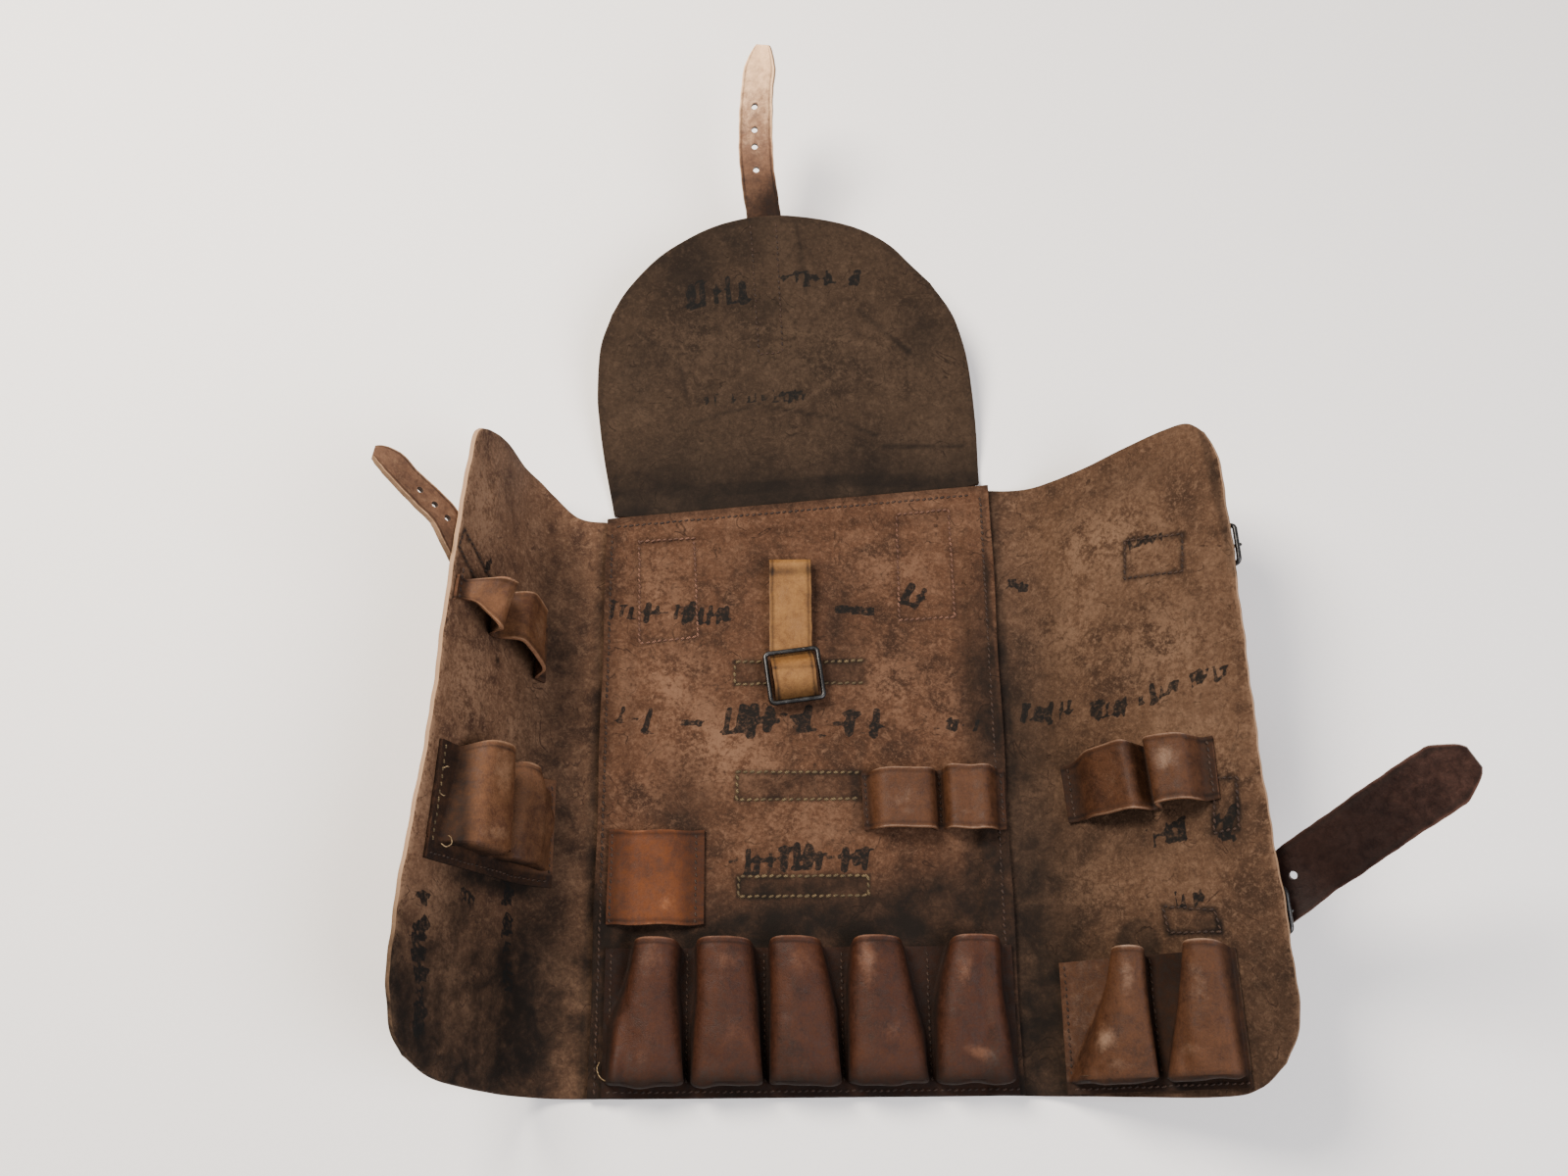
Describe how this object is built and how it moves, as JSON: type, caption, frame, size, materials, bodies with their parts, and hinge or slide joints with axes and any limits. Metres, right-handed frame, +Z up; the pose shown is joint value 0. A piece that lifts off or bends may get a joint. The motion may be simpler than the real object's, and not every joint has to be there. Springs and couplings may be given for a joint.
{
  "type": "tool roll",
  "caption": "Opened leather tool roll: flat panel, two raised wings and a rounded flap, with box pockets, tool loops, a wire slide frame, straps and buckles.",
  "frame": {"origin": "middle of the centre panel's underside, on the floor", "axes": "+Z up; +Y from the pockets' edge toward the rounded flap; +X toward the right wing"},
  "size_m": [0.6, 0.672, 0.1468],
  "materials": {
    "body_leather": "worn flesh side, mottled",
    "wing_leather": "worn flesh side, rough",
    "flap_leather": "worn flesh side, dark olive brown",
    "pocket_leather": "smooth grain, soft sheen",
    "wing_pocket_leather": "smooth grain, scuffed",
    "patch_leather": "smooth orange tan grain",
    "tab_leather": "yellowish tan, worn",
    "strap_leather": "worn strap leather",
    "dark_strap_leather": "smooth dark red brown grain",
    "black_metal": "black japanned steel wire, chipped"
  },
  "bodies": {
    "root": {"centre_panel": "body_leather", "left_wing": "wing_leather", "right_wing": "wing_leather", "top_flap": "flap_leather", "pocket_1": "pocket_leather", "pocket_2": "pocket_leather", "pocket_3": "pocket_leather", "pocket_4": "pocket_leather", "pocket_5": "pocket_leather", "right_pocket_1": "wing_pocket_leather", "right_pocket_2": "wing_pocket_leather", "left_pocket_1": "wing_pocket_leather", "left_pocket_2": "wing_pocket_leather", "centre_loops": "wing_pocket_leather", "right_loops": "wing_pocket_leather", "left_loops": "wing_pocket_leather", "patch_band": "patch_leather", "tab_strap": "tab_leather", "flap_strap": "strap_leather", "left_strap": "strap_leather", "upper_chape": "strap_leather", "lower_chape": "strap_leather", "right_strap": "dark_strap_leather", "slide_frame": "black_metal", "upper_buckle": "black_metal", "lower_buckle": "black_metal", "upper_prong": "black_metal", "lower_prong": "black_metal"}
  },
  "joints": []
}
